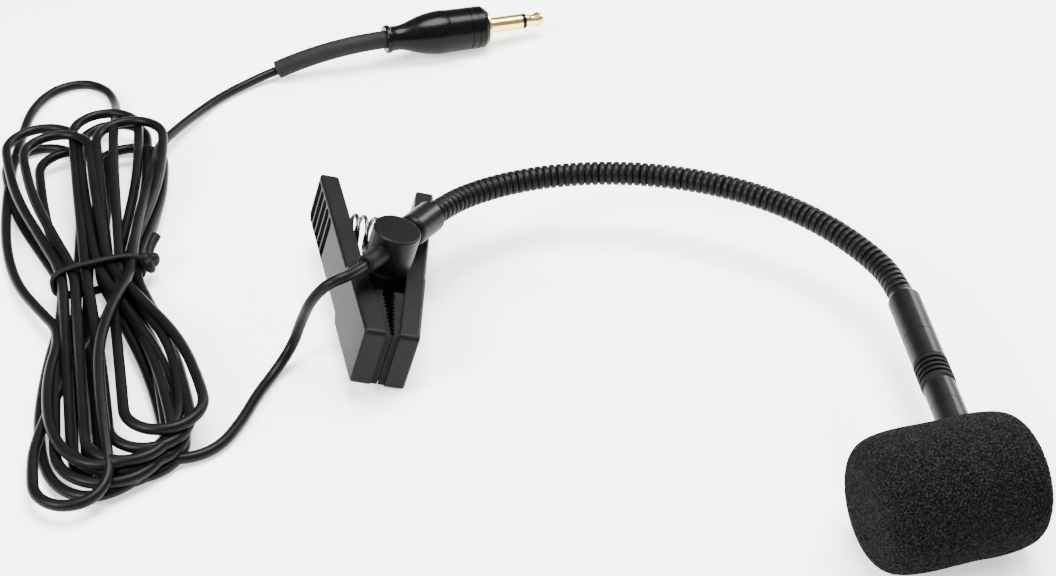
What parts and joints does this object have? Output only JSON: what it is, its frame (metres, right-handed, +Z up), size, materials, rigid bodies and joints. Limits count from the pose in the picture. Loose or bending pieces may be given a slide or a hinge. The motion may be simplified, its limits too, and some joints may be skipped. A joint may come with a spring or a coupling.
{
  "type": "lavalier microphone",
  "caption": "Clip-on miniature microphone with a bendable neck, foam windscreen, sprung clip with a swivel post, and a thin tied-up cable ending in a 3.5 mm mono plug.",
  "frame": {"origin": "on the table under the middle of the box round the clip, neck and windscreen", "axes": "+Z up from the table; +X from the clip towards the windscreen; +Y from the windscreen across to the top of the neck's bow"},
  "size_m": [0.1944, 0.1845, 0.0236],
  "materials": {
    "clip_black": "satin moulded black",
    "pad_rubber": "matt ribbed rubber",
    "spring_steel": "dark oiled spring wire",
    "post_black": "satin black paint",
    "washer_black": "matt",
    "screw_steel": "plain steel",
    "relief_rubber": "matt rubber",
    "neck_black": "satin black, finely ridged",
    "head_black": "satin black paint",
    "isolator_rubber": "matt rubber",
    "grille_steel": "perforated steel",
    "capsule_can": "bright can",
    "board_green": "circuit board",
    "foam_black": "open-cell foam",
    "cable_black": "satin jacket",
    "tie_black": "twisted tie",
    "plug_black": "glossy black",
    "plug_gold": "gold plated",
    "ring_black": "glossy insulator",
    "sleeve_rubber": "matt rubber"
  },
  "bodies": {
    "base": {"swivel_post": "post_black", "friction_washer": "washer_black", "pivot_screw": "screw_steel", "neck_ferrule": "post_black", "cable_strain_relief": "relief_rubber", "neck_01": "neck_black", "cable_lead": "cable_black", "cable_hank": "cable_black", "cable_tail": "cable_black", "cable_tie": "tie_black", "tie_knot": "tie_black", "plug_sleeve": "sleeve_rubber", "plug_shell": "plug_black", "plug_shaft": "plug_gold", "plug_insulator": "ring_black", "plug_tip": "plug_gold", "ground_lug": "plug_gold"},
    "clip": {"clip_lever_left": "clip_black", "jaw_pad_left": "pad_rubber", "clip_spring": "spring_steel"},
    "clip_jaw": {"clip_lever_right": "clip_black", "jaw_pad_right": "pad_rubber"},
    "neck_link_02": {"neck_02": "neck_black"},
    "neck_link_03": {"neck_03": "neck_black"},
    "neck_link_04": {"neck_04": "neck_black"},
    "neck_link_05": {"neck_05": "neck_black"},
    "neck_link_06": {"neck_06": "neck_black"},
    "neck_link_07": {"neck_07": "neck_black"},
    "neck_link_08": {"neck_08": "neck_black"},
    "neck_link_09": {"neck_09": "neck_black"},
    "neck_link_10": {"neck_10": "neck_black"},
    "neck_link_11": {"neck_11": "neck_black"},
    "neck_link_12": {"neck_12": "neck_black"},
    "head": {"neck_13": "neck_black", "head_ferrule": "head_black", "head_collar": "head_black", "isolator": "isolator_rubber", "capsule_sleeve": "head_black", "capsule_housing": "head_black", "capsule_grille": "grille_steel", "capsule_gasket": "isolator_rubber", "electret_capsule": "capsule_can", "capsule_board": "board_green"},
    "windscreen": {"foam_windscreen": "foam_black"}
  },
  "joints": [
    {"name": "clip_swivel", "type": "hinge", "parent": "base", "child": "clip", "pos_m": [-0.0463, 0.0198, 0.0141], "axis": [0.2903, 0.0346, 0.9563], "range_deg": [-20, 35]},
    {"name": "jaw_open", "type": "hinge", "parent": "clip", "child": "clip_jaw", "pos_m": [-0.0463, 0.0198, 0.0141], "axis": [0.2903, 0.0346, 0.9563], "range_deg": [0, 20], "stiffness_Nm_per_rad": 0.1, "springref_deg": -20.05, "deforming": ["clip_spring"]},
    {"name": "neck_bend_1", "type": "hinge", "parent": "base", "child": "neck_link_02", "pos_m": [-0.03309, 0.04044, 0.0146], "axis": [0.0458, 0.1076, 0.9931], "range_deg": [-9, 9]},
    {"name": "neck_lift_1", "type": "hinge", "parent": "neck_link_02", "child": "neck_link_03", "pos_m": [-0.02637, 0.04557, 0.01392], "axis": [0.4943, -0.8669, 0.0651], "range_deg": [-9, 9]},
    {"name": "neck_bend_2", "type": "hinge", "parent": "neck_link_03", "child": "neck_link_04", "pos_m": [-0.01855, 0.04883, 0.01368], "axis": [-0.0127, 0.0713, 0.9974], "range_deg": [-9, 9]},
    {"name": "neck_lift_2", "type": "hinge", "parent": "neck_link_04", "child": "neck_link_05", "pos_m": [-0.0102, 0.0503, 0.01375], "axis": [0.0702, -0.9951, 0.0702], "range_deg": [-9, 9]},
    {"name": "neck_bend_3", "type": "hinge", "parent": "neck_link_05", "child": "neck_link_06", "pos_m": [-0.00171, 0.05018, 0.01402], "axis": [-0.0299, 0.0682, 0.9972], "range_deg": [-9, 9]},
    {"name": "neck_lift_3", "type": "hinge", "parent": "neck_link_06", "child": "neck_link_07", "pos_m": [0.00665, 0.04872, 0.01433], "axis": [-0.2448, -0.9678, 0.0595], "range_deg": [-9, 9]},
    {"name": "neck_bend_4", "type": "hinge", "parent": "neck_link_07", "child": "neck_link_08", "pos_m": [0.01474, 0.04614, 0.0146], "axis": [-0.0047, 0.0614, 0.9981], "range_deg": [-9, 9]},
    {"name": "neck_lift_4", "type": "hinge", "parent": "neck_link_08", "child": "neck_link_09", "pos_m": [0.02245, 0.04259, 0.01471], "axis": [-0.4705, -0.8807, 0.0541], "range_deg": [-9, 9]},
    {"name": "neck_bend_5", "type": "hinge", "parent": "neck_link_09", "child": "neck_link_10", "pos_m": [0.02968, 0.03813, 0.01454], "axis": [0.0641, 0.024, 0.9977], "range_deg": [-9, 9]},
    {"name": "neck_lift_5", "type": "hinge", "parent": "neck_link_10", "child": "neck_link_11", "pos_m": [0.03626, 0.03278, 0.01409], "axis": [-0.6784, -0.732, 0.0635], "range_deg": [-9, 9]},
    {"name": "neck_bend_6", "type": "hinge", "parent": "neck_link_11", "child": "neck_link_12", "pos_m": [0.04195, 0.0265, 0.01355], "axis": [0.097, -0.0045, 0.9953], "range_deg": [-9, 9]},
    {"name": "neck_lift_6", "type": "hinge", "parent": "neck_link_12", "child": "head", "pos_m": [0.04631, 0.01924, 0.01316], "axis": [-0.9064, -0.4139, 0.0844], "range_deg": [-9, 9]},
    {"name": "windscreen_pull", "type": "slide", "parent": "head", "child": "windscreen", "axis": [0.0896, -0.996, -0.0061], "range_m": [0, 0.022]}
  ],
  "couplings": [
    {"joint": "neck_bend_2", "follows": "neck_bend_1", "ratio": 1},
    {"joint": "neck_lift_2", "follows": "neck_lift_1", "ratio": 1},
    {"joint": "neck_bend_3", "follows": "neck_bend_1", "ratio": 1},
    {"joint": "neck_lift_3", "follows": "neck_lift_1", "ratio": 1},
    {"joint": "neck_bend_4", "follows": "neck_bend_1", "ratio": 1},
    {"joint": "neck_lift_4", "follows": "neck_lift_1", "ratio": 1},
    {"joint": "neck_bend_5", "follows": "neck_bend_1", "ratio": 1},
    {"joint": "neck_lift_5", "follows": "neck_lift_1", "ratio": 1},
    {"joint": "neck_bend_6", "follows": "neck_bend_1", "ratio": 1},
    {"joint": "neck_lift_6", "follows": "neck_lift_1", "ratio": 1}
  ]
}
